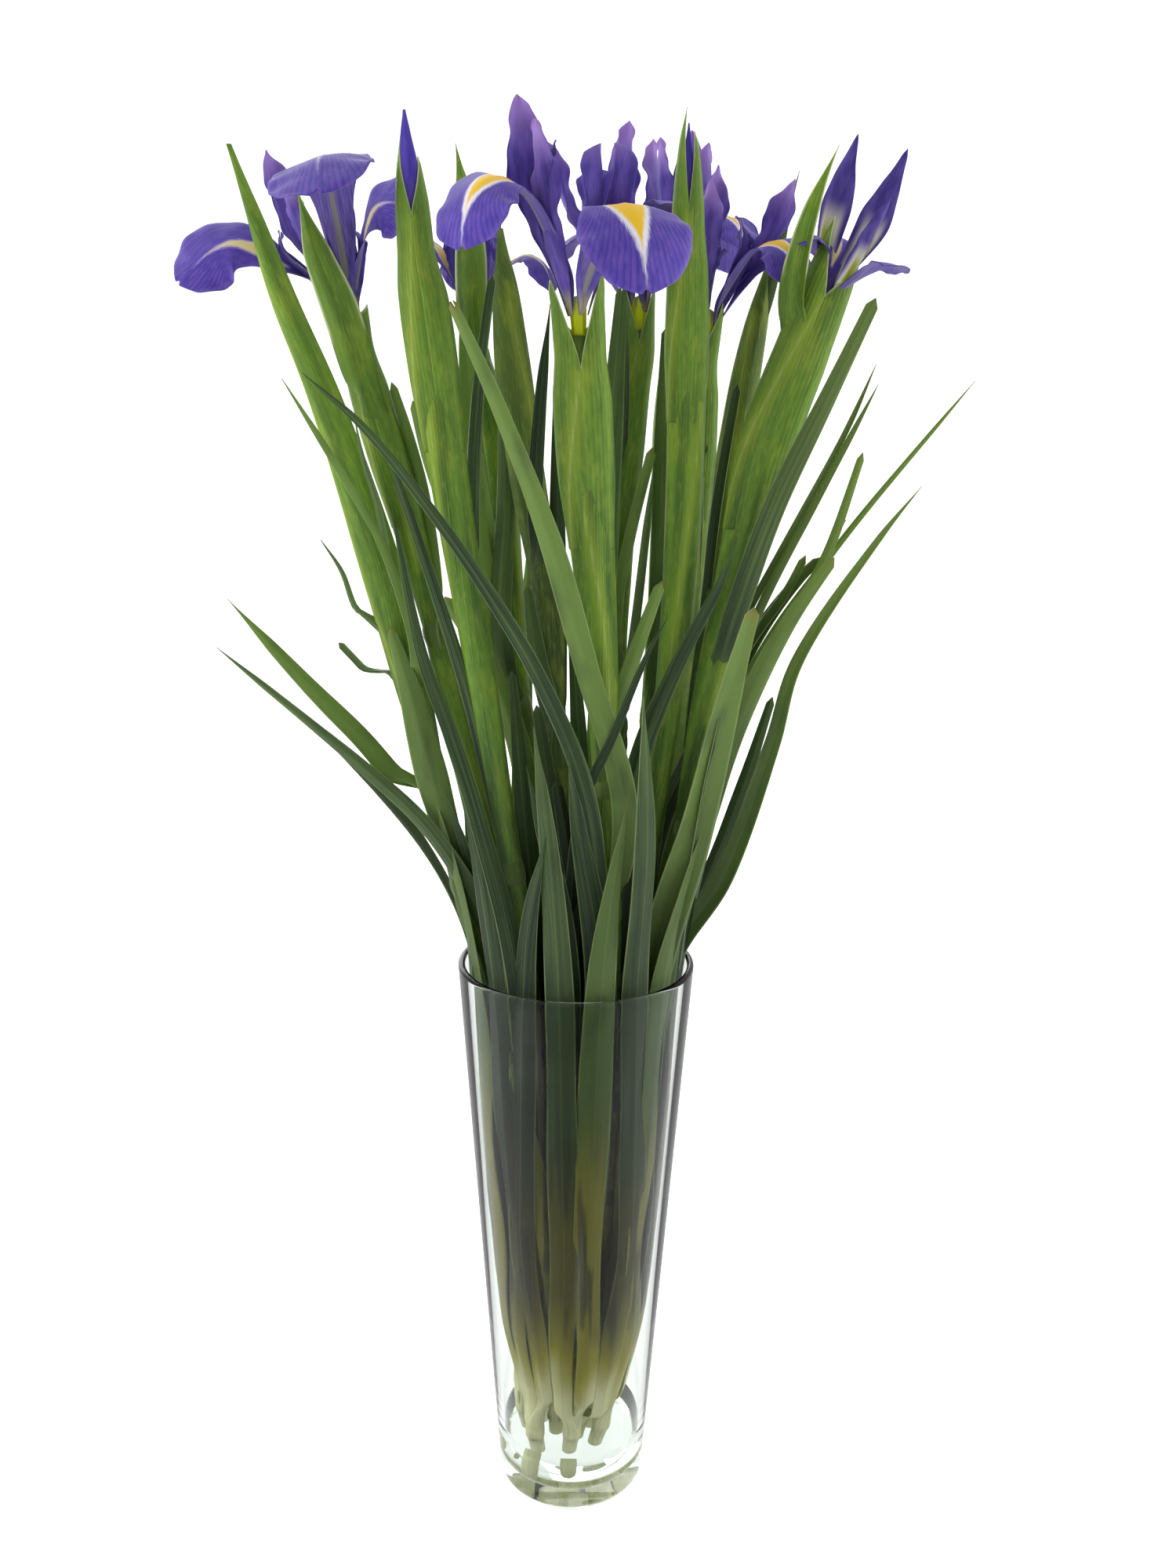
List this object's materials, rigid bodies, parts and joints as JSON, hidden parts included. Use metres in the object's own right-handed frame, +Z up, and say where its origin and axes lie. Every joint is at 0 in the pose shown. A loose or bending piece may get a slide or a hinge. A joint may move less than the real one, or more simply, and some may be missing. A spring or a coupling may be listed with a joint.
{
  "type": "irises in a glass vase",
  "caption": "Tall cone-shaped glass vase with a little water and a loose bunch of cut violet irises, with open flowers, furled buds, green sheaths and long narrow leaves.",
  "frame": {"origin": "middle of the vase's underside, on the surface it stands on", "axes": "+Z up along the vase's axis, -Y towards the front, +X to the right seen from the front"},
  "size_m": [0.3694, 0.257, 0.7084],
  "materials": {
    "clear_glass": "clear blown glass, faintly green, fogged on the inside below the rim",
    "water": "clear water",
    "leaf": "satin blue-green leaf with fine lengthwise veins",
    "dark_leaf": "satin dark olive-green sheath with fine lengthwise veins",
    "violet_petal": "velvety violet petal with a yellow and white patch on each fall"
  },
  "bodies": {
    "root": {"vase": "clear_glass", "water": "water", "stem_far_left": "leaf", "stem_left": "leaf", "stem_left_bud": "leaf", "stem_small": "leaf", "stem_closed_middle": "dark_leaf", "stem_main": "leaf", "stem_back": "leaf", "stem_behind_bud": "leaf", "stem_right_bud": "leaf", "stem_right": "leaf", "stem_opening": "leaf", "stem_closed_right": "dark_leaf", "flower_left": "violet_petal", "flower_small": "violet_petal", "flower_main": "violet_petal", "flower_back": "violet_petal", "flower_behind_bud": "violet_petal", "flower_right": "violet_petal", "flower_opening": "violet_petal", "petals_left_bud": "violet_petal", "petals_right_bud": "violet_petal"}
  },
  "joints": []
}
